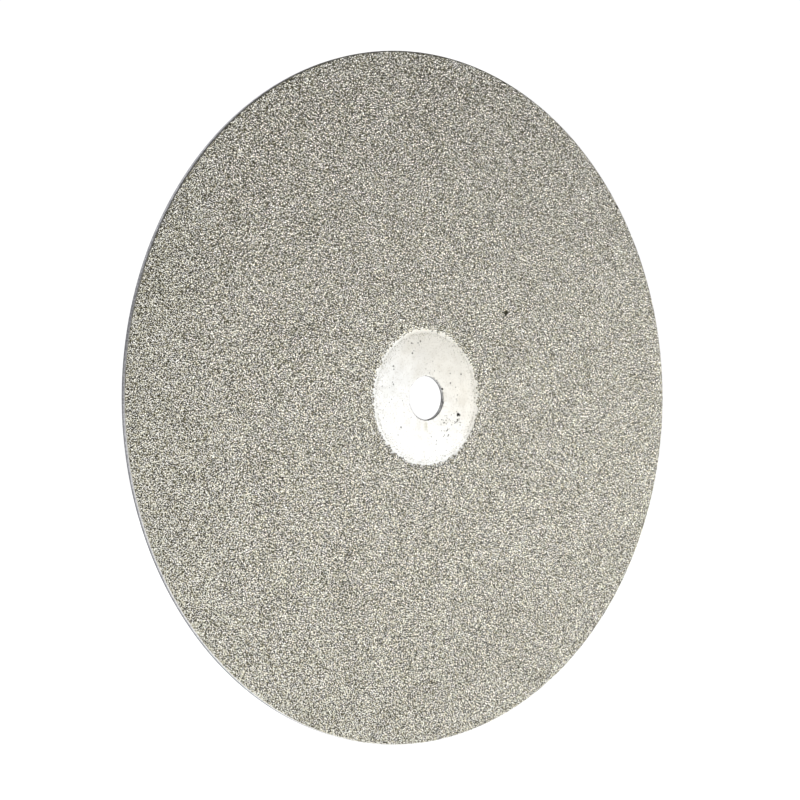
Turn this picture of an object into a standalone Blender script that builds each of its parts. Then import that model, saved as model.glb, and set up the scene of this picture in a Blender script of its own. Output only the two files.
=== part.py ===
"""A diamond grinding wheel: a flat, electroplated lapidary disc.

A thin round steel plate with a spindle hole carries an abrasive ring on its front face. The
ring is a layer of nickel that bonds one layer of diamond grains, whose tips stand out of it.
The middle of the front face, round the spindle hole, is left bare for the clamping washer.

The disc stands on edge and turns about the Y axis. The back of the plate lies in the plane
Y = 0 and the grit faces -Y. The origin is the middle of the spindle hole, in the plane of the
back. Lengths are in metres.
"""

import math

import bmesh
import bpy

# Plate
DISC_DIAMETER = 0.200  # overall diameter
PLATE_THICKNESS = 0.0012
BORE_DIAMETER = 0.0127  # takes a half-inch spindle
BORE_ROLLOVER = 0.00025  # radius that punching leaves where the bore meets the front face
EDGE_BREAK = 0.0001  # small bevel on the plate's other edges
BLAST_DEPTH = 0.00002  # how far the steel is blasted back where it is coated

# Coating
BARE_CENTRE_DIAMETER = 0.038  # inner edge of the abrasive ring
RIM_MARGIN = 0.00015  # width of plain steel between the abrasive ring and the rim's bevel
BOND_THICKNESS = 0.00012  # nickel
GRIT_HEIGHT = 0.00015  # how far the grain tips stand out of the nickel
SEAT_GAP = 0.00002  # clearance round each layer of the coating

# Roundness of the turned shapes
SEGMENTS = 180  # facets round the disc
ROLLOVER_STEPS = 3  # facets across the rounded edge of the bore

# Colour, roughness and metallic value of each layer
STEEL_LOOK = ((0.80, 0.80, 0.77, 1.0), 0.36, 1.0)
NICKEL_LOOK = ((0.66, 0.63, 0.56, 1.0), 0.34, 1.0)
GRIT_LOOK = ((0.40, 0.38, 0.32, 1.0), 0.55, 0.35)


def clear_scene():
    """Remove every object, so that only the wheel is left."""
    for obj in list(bpy.data.objects):
        bpy.data.objects.remove(obj)


def material(name, look):
    """A plain material with the given colour, roughness and metallic value."""
    colour, roughness, metallic = look
    mat = bpy.data.materials.new(name)
    mat.use_nodes = True
    shader = mat.node_tree.nodes["Principled BSDF"]
    shader.inputs["Base Color"].default_value = colour
    shader.inputs["Roughness"].default_value = roughness
    shader.inputs["Metallic"].default_value = metallic
    mat.diffuse_color = colour
    return mat


def fillet(corner, toward_first, toward_second, radius, steps):
    """Points of a quarter circle that rounds a square corner of a profile.

    The two unit vectors run from the corner along the edges before and after it. The circle's
    centre lies one radius along both of them, and one step makes a plain bevel.
    """
    points = []
    for i in range(steps + 1):
        turn = math.pi / 2 * i / steps
        before = radius * (1 - math.sin(turn))
        after = radius * (1 - math.cos(turn))
        points.append(
            tuple(
                c + before * a + after * b
                for c, a, b in zip(corner, toward_first, toward_second)
            )
        )
    return points


def turned_ring(name, profile, look, parent, y):
    """One closed ring: a profile of (radius, Y) points carried once round the Y axis."""
    bm = bmesh.new()
    loop = [bm.verts.new((radius, height, 0.0)) for radius, height in profile]
    edges = [bm.edges.new((a, b)) for a, b in zip(loop, loop[1:] + loop[:1])]
    bmesh.ops.spin(
        bm,
        geom=loop + edges,
        cent=(0.0, 0.0, 0.0),
        axis=(0.0, 1.0, 0.0),
        dvec=(0.0, 0.0, 0.0),
        angle=2 * math.pi,
        steps=SEGMENTS,
        use_merge=True,
    )
    bmesh.ops.recalc_face_normals(bm, faces=bm.faces[:])
    mesh = bpy.data.meshes.new(name)
    bm.to_mesh(mesh)
    bm.free()
    mesh.shade_smooth()
    mesh.set_sharp_from_angle(angle=math.radians(30))
    mesh.materials.append(material(name, look))
    obj = bpy.data.objects.new(name, mesh)
    bpy.context.scene.collection.objects.link(obj)
    obj.parent = parent
    obj.location.y = y
    return obj


def plate_profile():
    """Half section of the plate, from the rounded front edge of the bore out to the rim.

    The back is at Y = 0 and the bare centre, where the clamping washer sits, at minus the
    thickness. From there out the front is blasted a little lower, to key the coating.
    """
    bore = BORE_DIAMETER / 2
    bare = BARE_CENTRE_DIAMETER / 2
    rim = DISC_DIAMETER / 2
    front = -PLATE_THICKNESS
    blasted = front + BLAST_DEPTH
    inward, outward, back, forth = (-1, 0), (1, 0), (0, 1), (0, -1)
    profile = fillet((bore, front), back, outward, BORE_ROLLOVER, ROLLOVER_STEPS)
    profile += [(bare, front), (bare, blasted)]
    profile += fillet((rim, blasted), inward, back, EDGE_BREAK, 1)
    profile += fillet((rim, 0.0), forth, inward, EDGE_BREAK, 1)
    profile += fillet((bore, 0.0), outward, forth, EDGE_BREAK, 1)
    return profile


def coating_profile(thickness):
    """Half section of one layer of the abrasive ring, with its seat at Y = 0.

    It stays clear of the low step round the bare centre and of the bevel on the rim.
    """
    inner = BARE_CENTRE_DIAMETER / 2 + SEAT_GAP
    outer = DISC_DIAMETER / 2 - EDGE_BREAK - RIM_MARGIN
    return [(inner, 0.0), (inner, -thickness), (outer, -thickness), (outer, 0.0)]


def build():
    clear_scene()
    axis = bpy.data.objects.new("wheel_axis", None)
    bpy.context.scene.collection.objects.link(axis)
    turned_ring("steel_plate", plate_profile(), STEEL_LOOK, axis, 0.0)
    bond_seat = -(PLATE_THICKNESS - BLAST_DEPTH + SEAT_GAP)
    turned_ring(
        "nickel_bond", coating_profile(BOND_THICKNESS), NICKEL_LOOK, axis, bond_seat
    )
    grit_seat = bond_seat - (BOND_THICKNESS + SEAT_GAP)
    turned_ring("diamond_grit", coating_profile(GRIT_HEIGHT), GRIT_LOOK, axis, grit_seat)
    bpy.context.view_layer.update()


build()
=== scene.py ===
"""The finished look of a diamond grinding wheel, a flat electroplated lapidary disc.

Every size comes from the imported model, which is loaded first. The disc stands on edge, turns
about the Y axis and shows its grit towards -Y. Lengths are in metres.
"""

import cmath
import math

import bpy
import numpy as np
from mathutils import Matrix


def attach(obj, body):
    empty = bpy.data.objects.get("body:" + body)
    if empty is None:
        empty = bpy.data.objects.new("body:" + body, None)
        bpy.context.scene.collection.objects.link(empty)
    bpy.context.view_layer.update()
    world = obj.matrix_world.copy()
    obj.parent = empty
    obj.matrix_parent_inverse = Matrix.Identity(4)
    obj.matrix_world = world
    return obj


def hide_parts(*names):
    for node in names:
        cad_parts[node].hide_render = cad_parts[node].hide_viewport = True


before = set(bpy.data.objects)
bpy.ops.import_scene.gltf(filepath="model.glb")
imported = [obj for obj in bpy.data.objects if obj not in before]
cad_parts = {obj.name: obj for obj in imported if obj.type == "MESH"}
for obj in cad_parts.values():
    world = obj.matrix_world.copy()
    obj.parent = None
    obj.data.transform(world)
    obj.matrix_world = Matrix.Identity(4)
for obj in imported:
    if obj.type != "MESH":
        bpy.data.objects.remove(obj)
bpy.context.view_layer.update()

BODY = "root"
MM = 0.001

bl_info = {
    "name": "Diamond Grinding Wheel",
    "version": (1, 0, 0),
    "blender": (4, 5, 0),
    "location": "3D View > Sidebar > Wheel",
    "description": "Builds the plate, the nickel and the diamond grit of a lapidary disc",
    "category": "Add Mesh",
}


# ---------------------------------------------------------------- sizes from the frame


def half_section(node):
    """Radius and Y of each point of a CAD node. Every node is a ring turned about Y."""
    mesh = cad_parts[node].data
    flat = np.empty(len(mesh.vertices) * 3, np.float32)
    mesh.vertices.foreach_get("co", flat)
    x, y, z = flat.reshape(-1, 3).astype(float).T
    return np.hypot(x, z), y


PLATE_R, PLATE_Y = half_section("steel_plate")
BOND_Y = half_section("nickel_bond")[1]
GRIT_R, GRIT_Y = half_section("diamond_grit")
RIM_RADIUS, BORE_RADIUS = PLATE_R.max(), PLATE_R.min()
FRONT_Y, BACK_Y = PLATE_Y.min(), PLATE_Y.max()
COAT_INNER, COAT_OUTER = GRIT_R.min(), GRIT_R.max()
BLASTED_Y = PLATE_Y[PLATE_R > COAT_INNER].min()
BOND_SEAT_Y, BOND_TOP_Y = BOND_Y.max(), BOND_Y.min()
TIP_Y = GRIT_Y.min()
TOUCH = 1e-6  # clearance between pieces that lie on each other
BOND_TAPER = 1.8 * MM  # width over which the nickel thins out at its inner edge
CHIP = (31.0 * MM, 25.6 * MM, 0.74 * MM)  # X, Z and radius of the dark chip in the grit
CHIP_TONE = -0.5  # darker than any grain
NICKEL_TONE, NICKEL_TONE_SPREAD = 0.45, 0.3  # of the places with no grain
NICKEL_HEIGHTS = (0.05, 0.25)  # of those places, as shares of the highest tip's
STRAY_GAP = 0.14 * MM  # from the coating's edge to the nearest stray grain
STRAY_FALL = 0.65 * MM  # mean distance of the strays from there

# A grit sector's map: the grains' cells below, then the walls and the seat, in shares of it.
MAP_CELLS = 256  # cells along one side
MAP_RING = 0.3 * MM  # width of the rings of grains that fill the cells in turn
CELL_REACH = 0.48  # from the middle of a cell to the corners of its square, in cells
CELL_TURN = math.radians(65)  # way to the first of those corners
WALL_STRIP = (0.955, 0.965)
SEAT_STRIP = (0.975, 0.995)
SEAT_MARGIN = 0.02


# ---------------------------------------------------------------- arrays and meshes


def soft_noise(x, z, cell, seed):
    """Smooth noise from -1 to 1 over a plane.

    Each corner of a square lattice of that cell size has a random value, and a point between
    corners blends them with the weight 3t^2 - 2t^3 along each side.
    """
    table = np.random.default_rng(seed).uniform(-1, 1, (256, 256))
    u, v = np.asarray(x) / cell, np.asarray(z) / cell
    i, j = np.floor(u).astype(int), np.floor(v).astype(int)
    s, t = u - i, v - j
    s, t = s * s * (3 - 2 * s), t * t * (3 - 2 * t)
    i0, i1, j0, j1 = i % 256, (i + 1) % 256, j % 256, (j + 1) % 256
    near = table[i0, j0] * (1 - s) + table[i1, j0] * s
    far = table[i0, j1] * (1 - s) + table[i1, j1] * s
    return near * (1 - t) + far * t


def ring_noise(angle, radius, cell, seed):
    """Smooth noise round a circle: soft_noise read along the circle itself, so it closes."""
    return soft_noise(radius * np.cos(angle), radius * np.sin(angle), cell, seed)


def new_piece(name, points, corners, starts, uv, smooth, **per_face):
    """An object from arrays: points, the corner list of all faces and where each face starts.

    uv has one row for each corner, and per_face holds one number for each face.
    """
    mesh = bpy.data.meshes.new(name)
    mesh.vertices.add(len(points))
    mesh.vertices.foreach_set("co", np.ascontiguousarray(points, np.float32).ravel())
    mesh.loops.add(len(corners))
    mesh.loops.foreach_set("vertex_index", np.ascontiguousarray(corners, np.int32))
    mesh.polygons.add(len(starts))
    mesh.polygons.foreach_set("loop_start", np.ascontiguousarray(starts, np.int32))
    mesh.update(calc_edges=True)
    layer = mesh.uv_layers.new(name="OFBake")
    layer.uv.foreach_set("vector", np.ascontiguousarray(uv, np.float32).ravel())
    for key, values in per_face.items():
        data = mesh.attributes.new(key, "FLOAT", "FACE").data
        data.foreach_set("value", np.ascontiguousarray(values, np.float32))
    if mesh.validate():
        raise RuntimeError(f"the mesh of {name} has faults")
    if smooth:
        mesh.shade_smooth()
        mesh.set_sharp_from_angle(angle=math.radians(40))
    else:
        mesh.shade_flat()
    piece = bpy.data.objects.new(name, mesh)
    bpy.context.scene.collection.objects.link(piece)
    return piece


def finish_piece(piece, material, node):
    """Give a piece its material, and tell the frame what it rides on and stands for."""
    piece.data.materials.append(material)
    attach(piece, BODY)
    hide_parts(node)


def turned_grid(rows, segments):
    """Corners and face starts of a closed ring: a loop of rows carried once round the axis.

    Point (row, segment) has the number row * segments + segment, and the rows run round the
    half section so that the faces point outwards.
    """
    row, seg = np.mgrid[0:rows, 0:segments]
    next_row, next_seg = (row + 1) % rows, (seg + 1) % segments
    quads = np.stack(
        [
            row * segments + seg,
            next_row * segments + seg,
            next_row * segments + next_seg,
            row * segments + next_seg,
        ],
        axis=-1,
    )
    return quads.reshape(-1), np.arange(rows * segments) * 4


def turned_map(bands, segments):
    """UV of each corner of a turned ring: U is the turn and V the share up to each row."""
    rows = len(bands) - 1
    row, seg = np.mgrid[0:rows, 0:segments]
    u = np.stack([seg, seg, seg + 1, seg + 1], axis=-1) / segments
    v = bands[np.stack([row, row + 1, row + 1, row], axis=-1)]
    return np.stack([u, v], axis=-1).reshape(-1, 2)


# ---------------------------------------------------------------- shader maths


class Socket:
    """A shader output that sums can be written on. Each operation adds one Math node."""

    def __init__(self, finish, out):
        self.finish, self.out = finish, out

    def maths(self, operation, *values):
        """Add a Math node for one operation on sockets or numbers."""
        return self.finish.node(
            "ShaderNodeMath", {"operation": operation}, dict(enumerate(values))
        )

    def __add__(self, other):
        return self.maths("ADD", self, other)

    def __sub__(self, other):
        return self.maths("SUBTRACT", self, other)

    def __mul__(self, other):
        return self.maths("MULTIPLY", self, other)

    def __rsub__(self, other):
        return self.maths("SUBTRACT", other, self)

    __radd__, __rmul__ = __add__, __mul__


class Finish:
    """A node material. Its nodes all come from one method."""

    def __init__(self, name):
        self.material = bpy.data.materials.new(name)
        self.material.use_nodes = True
        self.tree = self.material.node_tree
        self.shader = self.tree.nodes["Principled BSDF"]
        self.place = self.node("ShaderNodeTexCoord", output="Object")

    def node(self, kind, settings=None, inputs=None, output=0):
        """Add a node: its settings are set first, then its sockets get values or links."""
        node = self.tree.nodes.new(kind)
        for key, value in (settings or {}).items():
            if key == "stops":
                self.set_stops(node.color_ramp.elements, value)
            else:
                setattr(node, key, value)
        for key, value in (inputs or {}).items():
            self.feed(node.inputs[key], value)
        return Socket(self, node.outputs[output])

    @staticmethod
    def set_stops(elements, stops):
        """Fill a ramp's elements from pairs of a position and a colour."""
        while len(elements) < len(stops):
            elements.new(0.5)
        for element, (position, colour) in zip(elements, stops):
            element.position = position
            element.color = (*colour, 1.0)

    def feed(self, socket, value):
        """Link a socket to another's output, or set its own value."""
        if isinstance(value, Socket):
            self.tree.links.new(value.out, socket)
        else:
            socket.default_value = value

    def surface(self, **inputs):
        """Set the shader's own sockets. An underscore in a name stands for a space."""
        for key, value in inputs.items():
            self.feed(self.shader.inputs[key.replace("_", " ")], value)

    def noise(self, size, detail=2.0, stretch=(1.0, 1.0, 1.0), turn=0.0):
        """Noise whose features are about that size, finer or longer where stretched.

        The turn, about the disc's axis, comes before the stretch.
        """
        turned = self.place
        if turn:
            turned = self.node("ShaderNodeMapping", None, {0: turned, "Rotation": (0.0, turn, 0.0)})
        scale = tuple(s / size for s in stretch)
        scaled = self.node("ShaderNodeMapping", None, {0: turned, "Scale": scale})
        return self.node("ShaderNodeTexNoise", None, {0: scaled, "Scale": 1.0, "Detail": detail})

    def attribute(self, name):
        """The number that each face of the mesh holds under a name."""
        return self.node("ShaderNodeAttribute", {"attribute_name": name}, output="Fac")

    def ramp(self, value, *stops):
        """A colour read from stops, each a position and a colour."""
        return self.node("ShaderNodeValToRGB", {"stops": stops}, {0: value})

    def band(self, value, low, high, from_value=0.0, to_value=1.0):
        """A value that goes from one number to another as the input goes from low to high."""
        return self.node(
            "ShaderNodeMapRange",
            {"interpolation_type": "SMOOTHSTEP", "clamp": True},
            {0: value, 1: low, 2: high, 3: from_value, 4: to_value},
        )

    def blend(self, share, first, second, mode="MIX"):
        """Blend two colours by a share from 0 to 1."""
        return self.node(
            "ShaderNodeMix",
            {"data_type": "RGBA", "blend_type": mode},
            {0: share, 6: first, 7: second},
            output=2,
        )

    def radius(self):
        """Distance from the disc's axis, in metres."""
        flat = self.node(
            "ShaderNodeVectorMath",
            {"operation": "MULTIPLY"},
            {0: self.place, 1: (1.0, 0.0, 1.0)},
        )
        return self.node(
            "ShaderNodeVectorMath", {"operation": "LENGTH"}, {0: flat}, output="Value"
        )

    def along(self, way):
        """Distance from the axis along one way across the disc's face, in metres."""
        return self.node(
            "ShaderNodeVectorMath",
            {"operation": "DOT_PRODUCT"},
            {0: self.place, 1: (way[0], 0.0, way[1])},
            output="Value",
        )

    def bump(self, height, distance, strength=1.0):
        """A normal bent by a height, whose full range is that distance."""
        return self.node(
            "ShaderNodeBump", None, {"Height": height, "Distance": distance, "Strength": strength}
        )


# Colours of the plate's marks.
FLECK = (0.58, 0.555, 0.49, 1.0)
STAIN = (0.50, 0.48, 0.36, 1.0)
# Near black of the pits and nibs: dark specks, and painted shade in the dents.
PIT_SPECK_AND_SHADE = (0.035, 0.032, 0.028, 1.0)
BACK_SPECK = (0.20, 0.19, 0.17, 1.0)
# The cut walls of the rim and of the hole: dark streak, light streak, dark band at the back.
RIM_CUT = ((0.34, 0.34, 0.37, 1.0), (0.66, 0.66, 0.69, 1.0), (0.09, 0.09, 0.10, 1.0))
BORE_CUT = ((0.30, 0.30, 0.30, 1.0), (0.56, 0.56, 0.56, 1.0), (0.05, 0.05, 0.05, 1.0))
# Scratches of the back: turn of the set, length in millimetres and shade.
SCRATCHES = ((0.5, 26, 0.66), (1.9, 18, 0.62), (2.7, 40, 0.25), (1.2, 12, 0.66))
SCRATCH_CELL = 0.3  # millimetres across


def bright_face(f, settings, cloud, film):
    """Colour of the bright plating: faint clouds, and a yellowed film on one side of the hole."""
    face = f.ramp(
        cloud * 0.6 + film * 0.4,
        (0.30, (0.965, 0.965, 0.96)),
        (0.50, (1.0, 1.0, 1.0)),
        (0.70, (1.0, 0.99, 0.97)),
    )
    face = f.blend(1.0, (*settings.steel_colour, 1.0), face, "MULTIPLY")
    across = f.along(settings.film_way) + (cloud - 0.5) * (14 * MM)
    yellow = f.blend(1.0, face, (*settings.film_tint, 1.0), "MULTIPLY")
    return f.blend(f.band(across, -7 * MM, 12 * MM), face, yellow)


def rolled_back(f):
    """Colour of the plain back: rolling lines, slow clouds, thin scratches and dark specks."""
    lines = f.noise(0.7 * MM, 3.0, (1.0, 1.0, 0.03))
    clouds = f.noise(30 * MM, 5.0)
    colour = f.ramp(
        lines * 0.5 + clouds * 0.5,
        (0.34, (0.38, 0.38, 0.375)),
        (0.50, (0.45, 0.45, 0.445)),
        (0.66, (0.52, 0.52, 0.525)),
    )
    for turn, long, shade in SCRATCHES:
        path = f.noise(SCRATCH_CELL * MM, 0.0, (1.0, 1.0, SCRATCH_CELL / long), turn)
        mark = f.band(path, 0.76, 0.82, 0.0, 0.75)
        colour = f.blend(mark, colour, (shade, shade, shade, 1.0))
    specks = f.band(f.noise(0.9 * MM, 2.0), 0.70, 0.78, 0.0, 0.5)
    return f.blend(specks, colour, BACK_SPECK), lines


def cut_wall(f, streaks, dark_back, colours):
    """Colour of a cut wall: light and dark streaks, and a darker band over a share of it."""
    # The third colour is that of the darker band at the back of the wall.
    dark, light, ragged = colours
    return f.blend(dark_back, f.blend(streaks, dark, light), ragged)


def plated_steel(settings):
    """Satin plated steel: nearly white, with faint flecks and pits, and grey where it is cut."""
    f = Finish("plated_steel")
    pit = f.attribute("pit")
    depth = f.node("ShaderNodeSeparateXYZ", None, {0: f.place}, output="Y")
    cloud, film = f.noise(9 * MM, 3.0), f.noise(2.2 * MM, 4.0)
    grain = f.noise(0.22 * MM, 1.0)
    radius = f.radius()
    face = bright_face(f, settings, cloud, film)
    # Faint brown flecks, thickest near the coating.
    close = f.band(radius, COAT_INNER - 5 * MM, COAT_INNER, 0.44, 0.54)
    flecks = f.band(f.noise(0.55 * MM, 1.0), 0.50, 0.74)
    face = f.blend(flecks * close, face, FLECK)
    # Cut walls, darker at the back; on the rim that band grows towards the bottom as painted shade.
    rim = f.band(radius, RIM_RADIUS - 0.12 * MM, RIM_RADIUS - 0.04 * MM)
    bore = f.band(radius, BORE_RADIUS + 0.02 * MM, BORE_RADIUS + 0.09 * MM, 1.0, 0.0)
    streaks = f.band(f.noise(0.35 * MM, 2.0, (1.0, 0.25, 1.0)), 0.35, 0.68)
    dark_back = f.band(depth, BACK_Y - 0.95 * MM, BACK_Y - 0.45 * MM)
    # Painted shade: the rim's dark band is weakest at the top and strongest towards the bottom.
    lower = f.band(f.along((0.3, -0.95)), -60 * MM, 10 * MM, 0.35, 0.88)
    face = f.blend(rim, face, cut_wall(f, streaks, dark_back * lower, RIM_CUT))
    dark_back = f.band(depth, BACK_Y - 0.55 * MM, BACK_Y - 0.30 * MM, 0.0, 0.85)
    face = f.blend(bore, face, cut_wall(f, streaks, dark_back, BORE_CUT))
    face = f.blend(f.attribute("stain"), face, STAIN)
    # Pits and nibs painted near black: dark specks, and painted shade in the dents.
    face = f.blend(pit, face, PIT_SPECK_AND_SHADE)
    back = f.band(depth, BACK_Y - 0.06 * MM, BACK_Y - 0.02 * MM)
    behind, lines = rolled_back(f)
    face = f.blend(back, face, behind)
    rough = f.band(film, 0.3, 0.7, settings.steel_roughness - 0.03, settings.steel_roughness + 0.05)
    f.surface(
        Base_Color=face,
        Metallic=0.9,
        Roughness=rough + pit * 0.3 + rim * 0.12 + bore * 0.12 + back * lines * 0.12,
        Normal=f.bump(grain * 0.6 + f.noise(0.6 * MM, 3.0) * 0.6, 0.008 * MM, 0.7),
    )
    return f.material


def plated_nickel(settings):
    """Satin nickel with small nodules, as bright as the plate where it thins out inwards."""
    f = Finish("plated_nickel")
    nodules = f.noise(0.18 * MM, 2.0)
    cloud, film = f.noise(9 * MM, 3.0), f.noise(2.2 * MM, 4.0)
    colour = f.ramp(
        nodules * 0.7 + film * 0.3,
        (0.30, (0.30, 0.28, 0.24)),
        (0.55, tuple(settings.nickel_colour)),
        (0.75, (0.78, 0.75, 0.68)),
    )
    thin = f.band(f.radius(), COAT_INNER + 1.0 * MM, COAT_INNER + 2.4 * MM, 1.0, 0.0)
    f.surface(
        Base_Color=f.blend(thin, colour, bright_face(f, settings, cloud, film)),
        Metallic=0.9,
        Roughness=f.band(nodules, 0.3, 0.7, 0.30, 0.42),
        Normal=f.bump(nodules, 0.02 * MM, 0.8),
    )
    return f.material


def diamond_grains(settings):
    """Diamond grains set in nickel. Each grain has its own tone, from smoky to nearly clear."""
    f = Finish("diamond_grains")
    tone = f.attribute("tone")
    mottle = f.noise(1.6 * MM, 3.0) * 0.4 + f.noise(12 * MM, 4.0) * 0.6
    shade = tone + (mottle - 0.5) * settings.mottling
    colour = f.ramp(
        shade,
        (0.0, tuple(settings.dark_grain)),
        (0.28, tuple(settings.smoky_grain)),
        (0.55, tuple(settings.mid_grain)),
        (1.0, tuple(settings.bright_grain)),
    )
    tint = f.ramp(
        f.noise(3 * MM, 5.0),
        (0.36, (0.995, 0.985, 0.98)),
        (0.50, (1.0, 0.99, 0.97)),
        (0.64, (0.99, 0.99, 0.955)),
    )
    f.surface(
        Base_Color=f.blend(1.0, colour, tint, "MULTIPLY"),
        Metallic=settings.grain_metallic,
        Roughness=f.band(shade, 0.0, 1.0, 0.28, 0.13),
    )
    return f.material


# ---------------------------------------------------------------- plate


def plate_profile(rollover, edge):
    """Half section of the plate in rows, as radius, Y and the share of the map up to each.

    It goes forward along the hole's wall, round the rolled edge, out over the bare centre,
    down the step, under the coating, over the rim and back along the flat back.
    """
    turn = np.linspace(0, math.pi / 2, 7)[1:]
    bevel = 0.3 * edge  # how far the middle of a bevel lies from the rim and from a face
    narrow = 0.12 * MM  # width of the back's row at each edge
    bare_in, rim_in, back_in = BORE_RADIUS + rollover, RIM_RADIUS - edge, BORE_RADIUS + edge
    hole = np.full(6, BORE_RADIUS), np.linspace(BACK_Y - edge, FRONT_Y + rollover, 6)
    rolled = (
        BORE_RADIUS + rollover * (1 - np.cos(turn)),
        FRONT_Y + rollover * (1 - np.sin(turn)),
    )
    bare = np.linspace(bare_in, COAT_INNER - TOUCH, 97)[1:], np.full(96, FRONT_Y)
    blasted = np.linspace(COAT_INNER, rim_in, 7), np.full(7, BLASTED_Y)
    rim = (
        np.r_[RIM_RADIUS - bevel, np.full(5, RIM_RADIUS), RIM_RADIUS - bevel],
        np.r_[
            BLASTED_Y + bevel, np.linspace(BLASTED_Y + edge, BACK_Y - edge, 5), BACK_Y - bevel
        ],
    )
    back = (
        np.r_[rim_in, np.linspace(rim_in - narrow, back_in + narrow, 27), back_in],
        np.full(29, BACK_Y),
    )
    parts = [
        (*hole, 0.05),
        (*rolled, 0.05),
        (*bare, 0.30),
        (*blasted, 0.04),
        (*rim, 0.08),
        (*back, 0.48),
    ]
    radius = np.concatenate([r for r, _, _ in parts])
    y = np.concatenate([h for _, h, _ in parts])
    widths = np.concatenate([np.full(len(r), share / len(r)) for r, _, share in parts])
    bands = np.concatenate([[0.0], np.cumsum(widths)])
    return radius, y, bands / bands[-1]


def pit_field(x, z, pits):
    """How deep the pits go at each point, from 0 to 1.

    A pit of radius R is (1 - (d/R)^2)^2 at the distance d from its middle, and the deepest
    pit counts where two meet.
    """
    field = np.zeros_like(x)
    for px, pz, size in pits:
        near = 1 - ((x - px) ** 2 + (z - pz) ** 2) / size**2
        field = np.maximum(field, np.clip(near, 0, 1) ** 2)
    return field


# Marks worn into the bare centre: X and Z from the axis, and radius, in millimetres.
WORN_PITS = np.array(
    [
        (-2.3, 16.4, 0.26),
        (-3.2, 15.9, 0.20),
        (-5.6, 15.8, 0.22),
        (-5.3, 12.9, 0.30),
        (-12.3, 9.1, 0.28),
        (-12.1, 8.2, 0.20),
        (-12.3, 3.9, 0.22),
        (-9.5, -8.4, 0.30),
        (8.4, -10.8, 0.26),
        (13.2, 7.0, 0.26),
        (9.1, 4.4, 0.26),
        (9.0, 7.2, 0.18),
        (6.0, 2.6, 0.42),
    ]
)


# Patches of specks on the bare centre: middle as X and Z, spread across and up, smallest and
# largest speck, all in millimetres, and the number of specks.
SCUFFS = [
    (12.1, -5.0, 0.24, 0.42, 0.36, 0.50, 5),
    (11.6, -6.2, 1.00, 1.30, 0.10, 0.19, 22),
    (7.0, -7.2, 1.10, 2.40, 0.10, 0.20, 26),
]


def scatter_pits(count, seed):
    """The worn pits, faint ones strewn between them, and the scuffed patches.

    The specks of a patch lie about its middle by a normal distribution, thickest there.
    """
    rng = np.random.default_rng(seed)
    angle = rng.uniform(0, 2 * math.pi, count)
    reach = rng.uniform(BORE_RADIUS + 1.0 * MM, COAT_INNER - 0.6 * MM, count)
    size = rng.uniform(0.10, 0.17, count) * MM
    faint = np.stack([reach * np.cos(angle), reach * np.sin(angle), size], axis=-1)
    patches = [
        np.stack(
            [rng.normal(x, wide, n), rng.normal(z, tall, n), rng.uniform(low, high, n)], axis=-1
        )
        for x, z, wide, tall, low, high, n in SCUFFS
    ]
    return np.concatenate([faint, *[rows * MM for rows in (WORN_PITS, *patches)]])


def stain_field(x, z):
    """Dried water below the hole: exp(-d^2) with d in half widths, for a run and its halo."""
    run = np.exp(-(((x + 0.2 * MM) / (0.65 * MM)) ** 2) - ((z + 8.2 * MM) / (1.3 * MM)) ** 2)
    halo = np.exp(-(((x + 0.9 * MM) / (3.2 * MM)) ** 2) - ((z + 8.9 * MM) / (2.4 * MM)) ** 2)
    ragged = 0.7 + 0.3 * soft_noise(x, z, 0.4 * MM, 31)
    return (0.85 * run + 0.16 * halo) * ragged


FRONT_WAVE, BACK_WAVE, CUT_WAVE = 0.004 * MM, 0.006 * MM, 0.006 * MM
NIB_HEIGHT = 0.10 * MM  # of the nibs that punching left round the hole


def build_plate(settings):
    """The steel plate: its half section turned about Y, with pits, a burr and slight waves."""
    segments = settings.segments
    radius, height, bands = plate_profile(settings.rollover, settings.edge_break)
    angle = 2 * math.pi * np.arange(segments) / segments
    r, a = np.meshgrid(radius, angle, indexing="ij")
    y = np.repeat(height[:, None], segments, axis=1)
    x, z = r * np.cos(a), r * np.sin(a)
    front = (y < FRONT_Y + TOUCH) & (r > BORE_RADIUS + settings.rollover)
    back = y > BACK_Y - TOUCH
    rolled = (r < BORE_RADIUS + settings.rollover + TOUCH) & (y < FRONT_Y + settings.rollover)
    pits = pit_field(x, z, scatter_pits(settings.pit_count, settings.seed)) * (front | rolled)
    y = y + pits * front * settings.pit_depth
    calm = np.clip((r - BORE_RADIUS - settings.rollover) / (3 * MM), 0, 1)
    y = y + front * calm * FRONT_WAVE * (1 + soft_noise(x, z, 5 * MM, 11))
    y = y - back * BACK_WAVE * (1 + soft_noise(x, z, 16 * MM, 12))
    nib = np.clip(ring_noise(a, BORE_RADIUS, 0.35 * MM, 13) - 0.35, 0, 1)
    y = y + rolled * nib * NIB_HEIGHT
    cut = r > RIM_RADIUS - 0.5 * settings.edge_break
    r = r - cut * CUT_WAVE * (1 + ring_noise(a, RIM_RADIUS, 1.3 * MM, 14))
    points = np.stack([r * np.cos(a), y, r * np.sin(a)], axis=-1).reshape(-1, 3)
    corners, starts = turned_grid(len(radius), segments)
    pit_face = pits.reshape(-1)[corners].reshape(-1, 4).mean(axis=1)
    stain = (stain_field(x, z) * front).reshape(-1)[corners].reshape(-1, 4).mean(axis=1)
    nib_face = (rolled * nib).reshape(-1)[corners].reshape(-1, 4).mean(axis=1)
    piece = new_piece(
        "steel_plate_finished",
        points,
        corners,
        starts,
        turned_map(bands, segments),
        True,
        # The pits and the nibs round the hole get the near black: dark specks, and painted shade.
        pit=np.clip(pit_face * 2.4 + nib_face * 1.2, 0, 1),
        stain=stain,
    )
    finish_piece(piece, plated_steel(settings), "steel_plate")


# ---------------------------------------------------------------- coating


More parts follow.
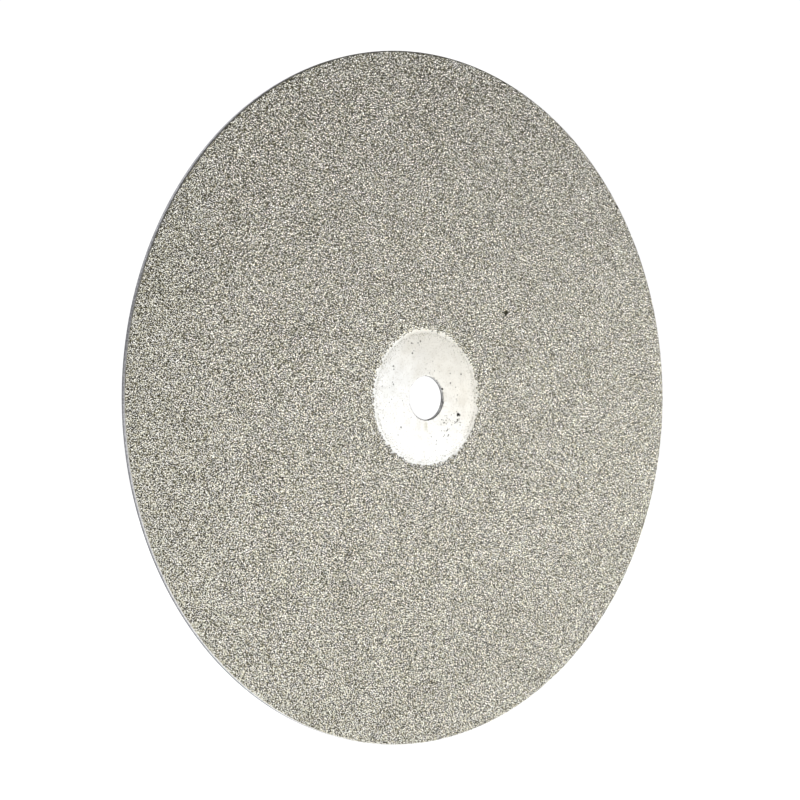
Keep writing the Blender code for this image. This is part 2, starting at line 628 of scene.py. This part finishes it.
def ragged_inner(angle):
    """Inner edge of the coating at each angle: coarse and fine noise outside the bare ring."""
    coarse = ring_noise(angle, COAT_INNER, 1.4 * MM, 21)
    fine = ring_noise(angle, COAT_INNER, 0.45 * MM, 22)
    return COAT_INNER + (0.16 + 0.14 * coarse + 0.12 * fine) * MM


def ragged_outer(angle):
    """Outer edge of the coating at each angle, just inside its outer radius."""
    coarse = ring_noise(angle, COAT_OUTER, 6 * MM, 23)
    fine = ring_noise(angle, COAT_OUTER, 0.6 * MM, 24)
    return COAT_OUTER - (0.10 + 0.07 * coarse + 0.06 * fine) * MM


def bond_face(radius, angle):
    """Y of the nickel's face, which thins out towards its ragged inner edge.

    It rises by (1 - cos(pi s)) / 2 of the thickness, with s from 0 to 1 across the taper.
    """
    s = np.clip((radius - ragged_inner(angle)) / BOND_TAPER, 0, 1)
    return BOND_SEAT_Y + (BOND_TOP_Y - BOND_SEAT_Y) * (1 - np.cos(math.pi * s)) / 2


def build_bond(settings):
    """The nickel: a flat ring that thins out inwards and has a rounded outer edge.

    The outer edge is a quarter circle. Both edges follow the ragged edges of the coating.
    """
    segments = 2 * settings.segments
    thick = BOND_SEAT_Y - BOND_TOP_Y
    angle = 2 * math.pi * np.arange(segments) / segments
    inner, outer = ragged_inner(angle), ragged_outer(angle) + 0.05 * MM
    rise, turn = np.linspace(0, 1, 9), np.linspace(0, math.pi / 2, 4)
    fillet = 0.7 * thick
    share = np.linspace(0, 1, 9)[1:-1, None]
    inside = inner + BOND_TAPER * rise[:, None]
    outside = outer - fillet * (1 - np.sin(turn[:, None]))
    radius = np.concatenate(
        [
            inside,
            inside[-1] + share * (outside[0] - inside[-1]),
            outside,
            outer[None, :],
            outer + share * (inner - outer),
        ]
    )
    front = bond_face(radius[: len(inside) + len(share)], angle)
    edge = BOND_TOP_Y + fillet * (1 - np.cos(turn))
    behind = np.full(1 + len(share), BOND_SEAT_Y)
    behind = np.repeat(np.concatenate([edge, behind])[:, None], segments, axis=1)
    y = np.minimum(np.concatenate([front, behind]), BOND_SEAT_Y - TOUCH)
    points = np.stack([radius * np.cos(angle), y, radius * np.sin(angle)], axis=-1)
    corners, starts = turned_grid(len(radius), segments)
    bands = np.linspace(0, 1, len(radius) + 1)
    piece = new_piece(
        "nickel_bond_finished",
        points.reshape(-1, 3),
        corners,
        starts,
        turned_map(bands, segments),
        True,
    )
    finish_piece(piece, plated_nickel(settings), "nickel_bond")


def grain_cells(settings):
    """Tips and corners of the grains on a jittered square lattice.

    The tip of grain (i, j) lies at (i + 1/2, j + 1/2) times the pitch and its corners at
    (i, j), (i + 1, j), (i + 1, j + 1) and (i, j + 1) times the pitch. The lattice is turned
    about the axis, and each point moves a random way. Four grains share a corner, so there is
    one corner for each grain. Returns all points as X, Z and height, then for each kept grain
    its tip and its four corners as numbers of points, its tone and its angle.
    """
    rng = np.random.default_rng(settings.seed)
    pitch = settings.grain_pitch
    half = int(COAT_OUTER / pitch) + 3
    i, j = np.mgrid[-half:half, -half:half]
    lean = cmath.rect(pitch, settings.lattice_turn)

    def shifted(offset, share):
        """Points of the lattice, each moved up to a share of the pitch, evenly over a circle."""
        way = rng.uniform(0, 2 * math.pi, i.shape)
        far = share * np.sqrt(rng.uniform(0, 1, i.shape))
        return lean * ((i + offset) + 1j * (j + offset) + far * np.exp(1j * way))

    tips, corners = shifted(0.5, settings.jitter), shifted(0.0, settings.jitter)
    nickel = rng.uniform(0, 1, i.shape) < settings.nickel_share
    tip_height = np.where(
        nickel,
        rng.uniform(*NICKEL_HEIGHTS, i.shape),
        rng.uniform(settings.lowest_tip, 1.0, i.shape),
    )
    corner_height = rng.uniform(0.02, settings.valley, i.shape)
    heights = np.concatenate([tip_height.ravel(), corner_height.ravel()])
    points = np.concatenate([tips.ravel(), corners.ravel()])
    middle = lean * ((i + 0.5) + 1j * (j + 0.5))
    angle = np.angle(middle)
    # Grains thin out towards the inner edge: a place stays empty if a random share of the
    # thinning band lies beyond it.
    reach = ragged_inner(angle) + settings.thinning * rng.uniform(0, 1, i.shape) ** 2
    keep = tidy_edge((np.abs(middle) > reach) & (np.abs(middle) < ragged_outer(angle)))
    number = np.arange(i.size).reshape(i.shape)
    corner = number + i.size
    ring = np.stack(
        [corner, np.roll(corner, -1, 0), np.roll(corner, (-1, -1), (0, 1)), np.roll(corner, -1, 1)],
        axis=-1,
    )
    flat = np.stack([points.real, points.imag])
    scale = BOND_TOP_Y - TIP_Y
    tones = lattice_tones(rng, nickel, settings)
    return flat, heights * scale, number[keep], ring[keep], tones[keep], angle[keep]


def lattice_tones(rng, nickel, settings):
    """One tone for each place of the lattice, from smoky to clear.

    A beta distribution gives a tone, the tones of the four neighbours push it the other way,
    and the contrast spreads it about one half. So a grain tends to differ from those beside it.
    """
    tone = rng.beta(settings.tone_a, settings.tone_b, nickel.shape)
    around = sum(np.roll(tone, way, axis) for way in (1, -1) for axis in (0, 1)) / 4
    tone = tone + settings.unlikeness * (tone.mean() - around)
    tone = np.clip(0.5 + settings.contrast * (tone - 0.5), 0, 1)
    bare = NICKEL_TONE + NICKEL_TONE_SPREAD * rng.uniform(0, 1, nickel.shape)
    return np.where(nickel, bare, tone)


def tidy_edge(keep):
    """Drop grains with fewer than two neighbours, and ones that meet another only at a corner."""
    for _ in range(4):
        beside = sum(np.roll(keep, way, axis).astype(int) for way in (1, -1) for axis in (0, 1))
        keep = keep & (beside >= 2)
        for step in (1, -1):
            over, along = np.roll(keep, -1, 0), np.roll(keep, -step, 1)
            corner = np.roll(over, -step, 1)
            keep = keep & ~(corner & ~over & ~along)
    return keep


def grain_map(middles, first_angle):
    """Map of the grains' facets: a square in a cell of its own for each grain.

    The grains fill the cells row by row, ring after ring of them, each ring by angle. A grain's
    tip is the middle of its square and its four corners are those of the square, which stands
    askew in the cell and doesn't reach its edges.
    """
    ring = ((np.abs(middles) - COAT_INNER) / MAP_RING).astype(int)
    around = (np.angle(middles) - first_angle) % (2 * math.pi)
    rank = np.empty(len(middles), int)
    rank[np.lexsort((around, ring))] = np.arange(len(middles))
    middle = (rank % MAP_CELLS + 0.5) + 1j * (rank // MAP_CELLS + 0.5)
    corner = middle[:, None] + cmath.rect(CELL_REACH, CELL_TURN) * 1j ** np.arange(4)
    facets = np.stack(
        [np.repeat(middle[:, None], 4, axis=1), corner, np.roll(corner, -1, axis=1)], axis=-1
    ).ravel()
    return np.stack([facets.real, facets.imag], axis=-1) / MAP_CELLS


def sector_mesh(name, flat, heights, centres, rings, tones, span):
    """One closed block of grains.

    The top has four facets for each grain. A wall goes down from every open edge to the seat,
    and the seat is closed by a fan from its middle.
    """
    tops = np.stack(
        [np.repeat(centres[:, None], 4, axis=1), rings, np.roll(rings, -1, axis=1)], axis=-1
    ).reshape(-1, 3)
    used, local = np.unique(tops, return_inverse=True)
    tops = local.reshape(-1, 3)
    spot = flat[0, used] + 1j * flat[1, used]
    angle = np.angle(spot)
    radius = np.clip(np.abs(spot), ragged_inner(angle), COAT_OUTER)
    seats = bond_face(radius, angle) - TOUCH
    x, z = radius * np.cos(angle), radius * np.sin(angle)
    top_points = np.stack([x, seats - heights[used], z], axis=-1)
    # An open edge belongs to one facet only: its reverse isn't among the edges.
    first, second = tops[:, 1], tops[:, 2]
    total = len(used)
    forward, reverse = first * total + second, second * total + first
    open_edge = ~np.isin(forward, reverse)
    start, end = first[open_edge], second[open_edge]
    rim = np.unique(start)
    lower = np.full(total, -1)
    lower[rim] = total + np.arange(len(rim))
    base_points = np.stack([x[rim], seats[rim], z[rim]], axis=-1)
    middle = base_points.mean(axis=0)
    points = np.concatenate([top_points, base_points, middle[None, :]])
    walls = np.stack([end, start, lower[start], lower[end]], axis=-1)
    fans = np.stack([lower[end], lower[start], np.full(len(start), len(points) - 1)], axis=-1)
    corners = np.concatenate([tops.ravel(), walls.ravel(), fans.ravel()])
    counts = np.concatenate(
        [np.full(len(tops), 3), np.full(len(walls), 4), np.full(len(fans), 3)]
    )
    starts = np.concatenate([[0], np.cumsum(counts)[:-1]])
    top_map = grain_map(flat[0, centres] + 1j * flat[1, centres], span[0])
    low, high = WALL_STRIP
    step = np.arange(len(walls)) / len(walls)
    after = step + 1 / len(walls)
    wall_u = np.stack([after, step, step, after], axis=-1)
    wall_v = np.broadcast_to([low, low, high, high], wall_u.shape)
    wall_map = np.stack([wall_u, wall_v], axis=-1).reshape(-1, 2)
    low, high = SEAT_STRIP
    turn = (np.arctan2(points[:, 2], points[:, 0]) - span[0] + math.pi) % (2 * math.pi) - math.pi
    seat_u = SEAT_MARGIN + (1 - 2 * SEAT_MARGIN) * turn / (span[1] - span[0])
    out = (np.hypot(points[:, 0], points[:, 2]) - COAT_INNER) / (COAT_OUTER - COAT_INNER)
    fan_map = np.stack([seat_u, low + (high - low) * out], axis=-1)[fans.ravel()]
    tone = np.concatenate([np.repeat(tones, 4), np.full(len(walls) + len(fans), 0.4)])
    return new_piece(
        name,
        points,
        corners,
        starts,
        np.concatenate([top_map, wall_map, fan_map]),
        False,
        tone=tone,
    )


def build_grit(settings):
    """The layer of grains, in equal sectors that meet along the grains' own edges."""
    flat, heights, centres, rings, tones, angle = grain_cells(settings)
    x, z = flat[0, centres], flat[1, centres]
    chip_x, chip_z, chip_radius = CHIP
    chipped = (x - chip_x) ** 2 + (z - chip_z) ** 2 < chip_radius**2
    tones = np.where(chipped, CHIP_TONE, tones)
    material = diamond_grains(settings)
    share = 2 * math.pi / settings.sectors
    sector = (angle // share).astype(int) % settings.sectors
    for k in range(settings.sectors):
        mine = sector == k
        piece = sector_mesh(
            f"diamond_grit_{k + 1:02d}",
            flat,
            heights,
            centres[mine],
            rings[mine],
            tones[mine],
            (k * share, (k + 1) * share),
        )
        finish_piece(piece, material, "diamond_grit")
    return material


def build_strays(settings):
    """Loose grains just inside the coating's edge, fewer the further in they lie.

    Each has six corners on the plate at random radii round its middle and one tip above. The
    distance from the edge follows an exponential fall.
    """
    rng = np.random.default_rng(settings.seed + 2)
    count = settings.stray_count
    angle = rng.uniform(0, 2 * math.pi, count)
    inset = np.clip(rng.exponential(STRAY_FALL, count), 0.02 * MM, 4.0 * MM)
    radius = COAT_INNER - STRAY_GAP - inset
    cx, cz = radius * np.cos(angle), radius * np.sin(angle)
    turn = rng.uniform(0, 1, (count, 1)) + np.arange(6) / 6
    size = settings.grain_pitch * rng.uniform(0.16, 0.42, (count, 1))
    size = size * rng.uniform(0.7, 1.2, (count, 6))
    seat_y = FRONT_Y - TOUCH
    corner_x = cx[:, None] + size * np.cos(2 * math.pi * turn)
    corner_z = cz[:, None] + size * np.sin(2 * math.pi * turn)
    ring = np.stack([corner_x, np.full_like(corner_x, seat_y), corner_z], axis=-1)
    rise = rng.uniform(0.03, 0.11, count) * MM
    tip = np.stack([cx, seat_y - rise, cz], axis=-1)[:, None, :]
    foot = np.stack([cx, np.full(count, seat_y), cz], axis=-1)[:, None, :]
    points = np.concatenate([tip, ring, foot], axis=1).reshape(-1, 3)
    base = 8 * np.arange(count)[:, None, None]
    j = np.arange(6)
    after = (j + 1) % 6
    up = np.stack([np.zeros(6, int), 1 + j, 1 + after], axis=-1)
    down = np.stack([np.full(6, 7), 1 + after, 1 + j], axis=-1)
    faces = (base + np.concatenate([up, down])[None]).reshape(-1, 3)
    columns = int(math.ceil(math.sqrt(count)))
    cell = np.stack([np.arange(count) % columns, np.arange(count) // columns], axis=-1)
    local = np.stack([np.cos(2 * math.pi * j / 6), np.sin(2 * math.pi * j / 6)], axis=-1)
    local = np.concatenate([[[0.0, 0.0]], local, [[0.0, 0.0]]])
    where = (cell[:, None, :] + 0.5 + 0.42 * local[None]) / columns
    piece = new_piece(
        "diamond_grit_strays",
        points,
        faces.ravel(),
        np.arange(len(faces)) * 3,
        where.reshape(-1, 2)[faces.ravel()],
        False,
        tone=np.repeat(rng.uniform(0.1, 0.75, count), 12),
    )
    return piece


# ---------------------------------------------------------------- stage


def aim(obj, target):
    """Turn an object's -Z towards a point."""
    way = np.asarray(target, float) - np.asarray(obj.location, float)
    flat = math.hypot(way[0], way[1])
    obj.rotation_euler = (math.pi / 2 + math.atan2(way[2], flat), 0, math.atan2(-way[0], way[1]))


def soft_box(name, direction, distance, size, radiance):
    """A square lamp that faces the disc. Its power is pi times its area times its radiance."""
    lamp = bpy.data.lights.new(name, "AREA")
    lamp.shape = "RECTANGLE"
    lamp.size, lamp.size_y = size
    lamp.energy = math.pi * size[0] * size[1] * radiance
    obj = bpy.data.objects.new(name, lamp)
    bpy.context.scene.collection.objects.link(obj)
    way = np.asarray(direction, float)
    obj.location = way / np.linalg.norm(way) * distance
    aim(obj, (0, 0, 0))
    obj.visible_camera = False


FLOOR_HALF = 4.0  # half the floor's side
WHITE_STRENGTH = 1.05  # of the white behind everything
LENS, SENSOR = 78.75, 36.0  # millimetres
CAMERA_PLACE = (-0.3240, FRONT_Y - 0.3911, -0.0006)
CAMERA_TURN = math.radians(-38.77)
# Soft boxes: direction from the disc, distance, size, and strength beside the key light's.
SOFT_BOXES = {
    "key": ((0.72, -0.66, -0.26), 0.62, (0.62, 0.50), 1.0),
    "back_left": ((-0.75, 0.75, 0.0), 1.2, (0.5, 0.5), 0.40),
    "back_top": ((-0.15, 0.78, 0.60), 1.1, (1.5, 0.8), 0.95),
}


def build_camera():
    """A long lens at the disc's own height, turned so that the disc shows three-quarter on."""
    lens = bpy.data.cameras.new("camera")
    lens.lens, lens.sensor_width = LENS, SENSOR
    lens.clip_start, lens.clip_end = 0.01, 50.0
    camera = bpy.data.objects.new("camera", lens)
    bpy.context.scene.collection.objects.link(camera)
    camera.location = CAMERA_PLACE
    camera.rotation_euler = (math.pi / 2, 0, CAMERA_TURN)
    bpy.context.scene.camera = camera


def build_floor(settings):
    """A wide pale floor just under the rim."""
    half = FLOOR_HALF
    z = -RIM_RADIUS - settings.floor_gap
    mesh = bpy.data.meshes.new("floor")
    corners = [(-half, -half, z), (half, -half, z), (half, half, z), (-half, half, z)]
    mesh.from_pydata(corners, [], [(0, 1, 2, 3)])
    floor = bpy.data.objects.new("floor", mesh)
    bpy.context.scene.collection.objects.link(floor)
    f = Finish("pale_floor")
    f.surface(
        Base_Color=(0.85, 0.85, 0.85, 1.0),
        Roughness=0.9,
        Specular_IOR_Level=0.1,
        Emission_Color=(1.0, 1.0, 1.0, 1.0),
        Emission_Strength=settings.floor_glow,
    )
    floor.data.materials.append(f.material)


def build_world(settings):
    """White behind everything, and a dimmer room for what the disc reflects."""
    world = bpy.data.worlds.new("room")
    world.use_nodes = True
    tree = world.node_tree
    tree.nodes.clear()
    room = tree.nodes.new("ShaderNodeBackground")
    room.inputs["Color"].default_value = (1.0, 0.985, 0.96, 1.0)
    room.inputs["Strength"].default_value = settings.room_light
    white = tree.nodes.new("ShaderNodeBackground")
    white.inputs["Color"].default_value = (1.0, 1.0, 1.0, 1.0)
    white.inputs["Strength"].default_value = WHITE_STRENGTH
    path = tree.nodes.new("ShaderNodeLightPath")
    mix = tree.nodes.new("ShaderNodeMixShader")
    out = tree.nodes.new("ShaderNodeOutputWorld")
    tree.links.new(path.outputs["Is Camera Ray"], mix.inputs[0])
    tree.links.new(room.outputs[0], mix.inputs[1])
    tree.links.new(white.outputs[0], mix.inputs[2])
    tree.links.new(mix.outputs[0], out.inputs["Surface"])
    bpy.context.scene.world = world


def build_stage(settings):
    """Build the camera, the floor, the room and the soft boxes."""
    build_camera()
    build_floor(settings)
    build_world(settings)
    for name, (direction, distance, size, strength) in SOFT_BOXES.items():
        soft_box(name, direction, distance, size, strength * settings.key_light)
    bpy.context.scene.view_settings.view_transform = "Standard"


# ---------------------------------------------------------------- settings


class WheelPlateSettings(bpy.types.PropertyGroup):
    """Sizes and colours of the steel plate and the nickel."""

    segments: bpy.props.IntProperty(
        name="Segments", description="Facets round the plate", default=600, min=120, max=640
    )
    rollover: bpy.props.FloatProperty(
        name="Rollover",
        description="Radius of the rolled edge of the spindle hole",
        default=0.25 * MM,
        unit="LENGTH",
    )
    edge_break: bpy.props.FloatProperty(
        name="Edge break",
        description="Bevel on the rim",
        default=0.10 * MM,
        unit="LENGTH",
    )
    pit_count: bpy.props.IntProperty(
        name="Pits", description="Faint pits on the bare centre", default=34, min=0
    )
    pit_depth: bpy.props.FloatProperty(
        name="Pit depth", description="Depth of a pit", default=0.05 * MM, unit="LENGTH"
    )
    steel_colour: bpy.props.FloatVectorProperty(
        name="Steel",
        description="Colour of the plate",
        subtype="COLOR",
        default=(0.90, 0.90, 0.875),
    )
    film_way: bpy.props.FloatVectorProperty(
        name="Film way",
        description="Way across the face, as X and Z, in which the film thickens",
        size=2,
        default=(0.72, 0.69),
    )
    film_tint: bpy.props.FloatVectorProperty(
        name="Film tint",
        description="Colour of the film",
        subtype="COLOR",
        default=(0.895, 0.87, 0.82),
    )
    steel_roughness: bpy.props.FloatProperty(
        name="Steel roughness", description="Roughness of the plate", default=0.33, min=0, max=1
    )
    nickel_colour: bpy.props.FloatVectorProperty(
        name="Nickel", description="Colour of the nickel", subtype="COLOR", default=(0.6, 0.57, 0.5)
    )
    seed: bpy.props.IntProperty(name="Seed", description="Seed of the pits", default=7)


class WheelGritSettings(bpy.types.PropertyGroup):
    """Size, spread and colours of the diamond grains."""

    grain_pitch: bpy.props.FloatProperty(
        name="Grain pitch",
        description="Distance from one grain to the next",
        default=0.29 * MM,
        min=0.27 * MM,
        unit="LENGTH",
        precision=5,
    )
    jitter: bpy.props.FloatProperty(
        name="Jitter", description="Random shift as a share of the pitch", default=0.30
    )
    lattice_turn: bpy.props.FloatProperty(
        name="Lattice turn",
        description="Turn of the grains' lattice about the axis",
        default=math.radians(27),
        unit="ROTATION",
    )
    sectors: bpy.props.IntProperty(
        name="Sectors", description="Pieces that the layer is made in", default=9, min=8
    )
    thinning: bpy.props.FloatProperty(
        name="Thinning",
        description="Width of the band at the inner edge where grains thin out",
        default=1.3 * MM,
        unit="LENGTH",
    )
    nickel_share: bpy.props.FloatProperty(
        name="Nickel share", description="Share of places with no grain", default=0.14
    )
    lowest_tip: bpy.props.FloatProperty(
        name="Lowest tip", description="Height of the lowest tip, as a share", default=0.30
    )
    valley: bpy.props.FloatProperty(
        name="Valley", description="Height of the highest valley, as a share", default=0.35
    )
    tone_a: bpy.props.FloatProperty(
        name="Tone a", description="Weight of bright tones", default=0.75
    )
    tone_b: bpy.props.FloatProperty(
        name="Tone b", description="Weight of dark tones", default=0.62
    )
    unlikeness: bpy.props.FloatProperty(
        name="Unlikeness", description="How far neighbours push a grain's tone away", default=0.9
    )
    contrast: bpy.props.FloatProperty(
        name="Contrast", description="Spread of the tones about the middle one", default=1.9
    )
    mottling: bpy.props.FloatProperty(
        name="Mottling", description="Strength of the slow colour changes", default=0.28
    )
    dark_grain: bpy.props.FloatVectorProperty(
        name="Dark grain",
        description="Colour of the darkest grains",
        subtype="COLOR",
        default=(0.034, 0.030, 0.012),
    )
    smoky_grain: bpy.props.FloatVectorProperty(
        name="Smoky grain",
        description="Colour of the grains between the darkest and the common ones",
        subtype="COLOR",
        default=(0.262, 0.240, 0.155),
    )
    mid_grain: bpy.props.FloatVectorProperty(
        name="Middle grain",
        description="Colour of the common grains",
        subtype="COLOR",
        default=(0.682, 0.656, 0.532),
    )
    bright_grain: bpy.props.FloatVectorProperty(
        name="Bright grain",
        description="Colour of the clearest grains",
        subtype="COLOR",
        default=(0.990, 0.985, 0.945),
    )
    grain_metallic: bpy.props.FloatProperty(
        name="Metallic", description="How metallic grains and nickel look", default=0.8
    )
    stray_count: bpy.props.IntProperty(
        name="Strays", description="Loose grains on the bare centre", default=1300, min=1
    )
    seed: bpy.props.IntProperty(name="Seed", description="Seed of the grains", default=3)


class WheelStageSettings(bpy.types.PropertyGroup):
    """Light and floor."""

    floor_gap: bpy.props.FloatProperty(
        name="Floor gap",
        description="Space between the rim and the floor",
        default=0.5 * MM,
        unit="LENGTH",
    )
    floor_glow: bpy.props.FloatProperty(
        name="Floor glow", description="Light that the floor gives back", default=1.0
    )
    room_light: bpy.props.FloatProperty(
        name="Room light", description="Brightness of the room round the disc", default=0.07
    )
    key_light: bpy.props.FloatProperty(
        name="Key light", description="Brightness of the main soft box", default=1.20
    )


# ---------------------------------------------------------------- operators and panel


class WHEEL_OT_plate(bpy.types.Operator):
    """Build the steel plate with its spindle hole, pits and rim"""

    bl_idname = "wheel.plate"
    bl_label = "Steel Plate"

    def execute(self, context):
        build_plate(context.scene.wheel_plate)
        return {"FINISHED"}


class WHEEL_OT_bond(bpy.types.Operator):
    """Build the nickel ring that holds the grains"""

    bl_idname = "wheel.bond"
    bl_label = "Nickel Bond"

    def execute(self, context):
        build_bond(context.scene.wheel_plate)
        return {"FINISHED"}


class WHEEL_OT_grit(bpy.types.Operator):
    """Build the layer of diamond grains and the loose grains at its inner edge"""

    bl_idname = "wheel.grit"
    bl_label = "Diamond Grit"

    def execute(self, context):
        settings = context.scene.wheel_grit
        material = build_grit(settings)
        finish_piece(build_strays(settings), material, "diamond_grit")
        return {"FINISHED"}


class WHEEL_OT_stage(bpy.types.Operator):
    """Build the floor, the room, the lamps and the camera"""

    bl_idname = "wheel.stage"
    bl_label = "Stage"

    def execute(self, context):
        build_stage(context.scene.wheel_stage)
        return {"FINISHED"}


class WHEEL_PT_panel(bpy.types.Panel):
    """The wheel's sizes and colours, and a button for each piece"""

    bl_label = "Diamond Grinding Wheel"
    bl_idname = "WHEEL_PT_panel"
    bl_space_type = "VIEW_3D"
    bl_region_type = "UI"
    bl_category = "Wheel"

    def draw(self, context):
        scene = context.scene
        groups = (
            (scene.wheel_plate, ("wheel.plate", "wheel.bond")),
            (scene.wheel_grit, ("wheel.grit",)),
            (scene.wheel_stage, ("wheel.stage",)),
        )
        for settings, operators in groups:
            box = self.layout.box()
            for name in type(settings).__annotations__:
                box.prop(settings, name)
            for operator in operators:
                box.operator(operator)


CLASSES = (
    WheelPlateSettings,
    WheelGritSettings,
    WheelStageSettings,
    WHEEL_OT_plate,
    WHEEL_OT_bond,
    WHEEL_OT_grit,
    WHEEL_OT_stage,
    WHEEL_PT_panel,
)


def register():
    """Add the classes, and the settings that each scene keeps."""
    for cls in CLASSES:
        bpy.utils.register_class(cls)
    bpy.types.Scene.wheel_plate = bpy.props.PointerProperty(type=WheelPlateSettings)
    bpy.types.Scene.wheel_grit = bpy.props.PointerProperty(type=WheelGritSettings)
    bpy.types.Scene.wheel_stage = bpy.props.PointerProperty(type=WheelStageSettings)


def unregister():
    """Take away what register added."""
    del bpy.types.Scene.wheel_stage
    del bpy.types.Scene.wheel_grit
    del bpy.types.Scene.wheel_plate
    for cls in reversed(CLASSES):
        bpy.utils.unregister_class(cls)


def main():
    """Build the stage and every piece."""
    register()
    bpy.ops.wheel.stage()
    bpy.ops.wheel.plate()
    bpy.ops.wheel.bond()
    bpy.ops.wheel.grit()


if __name__ == "__main__":
    main()
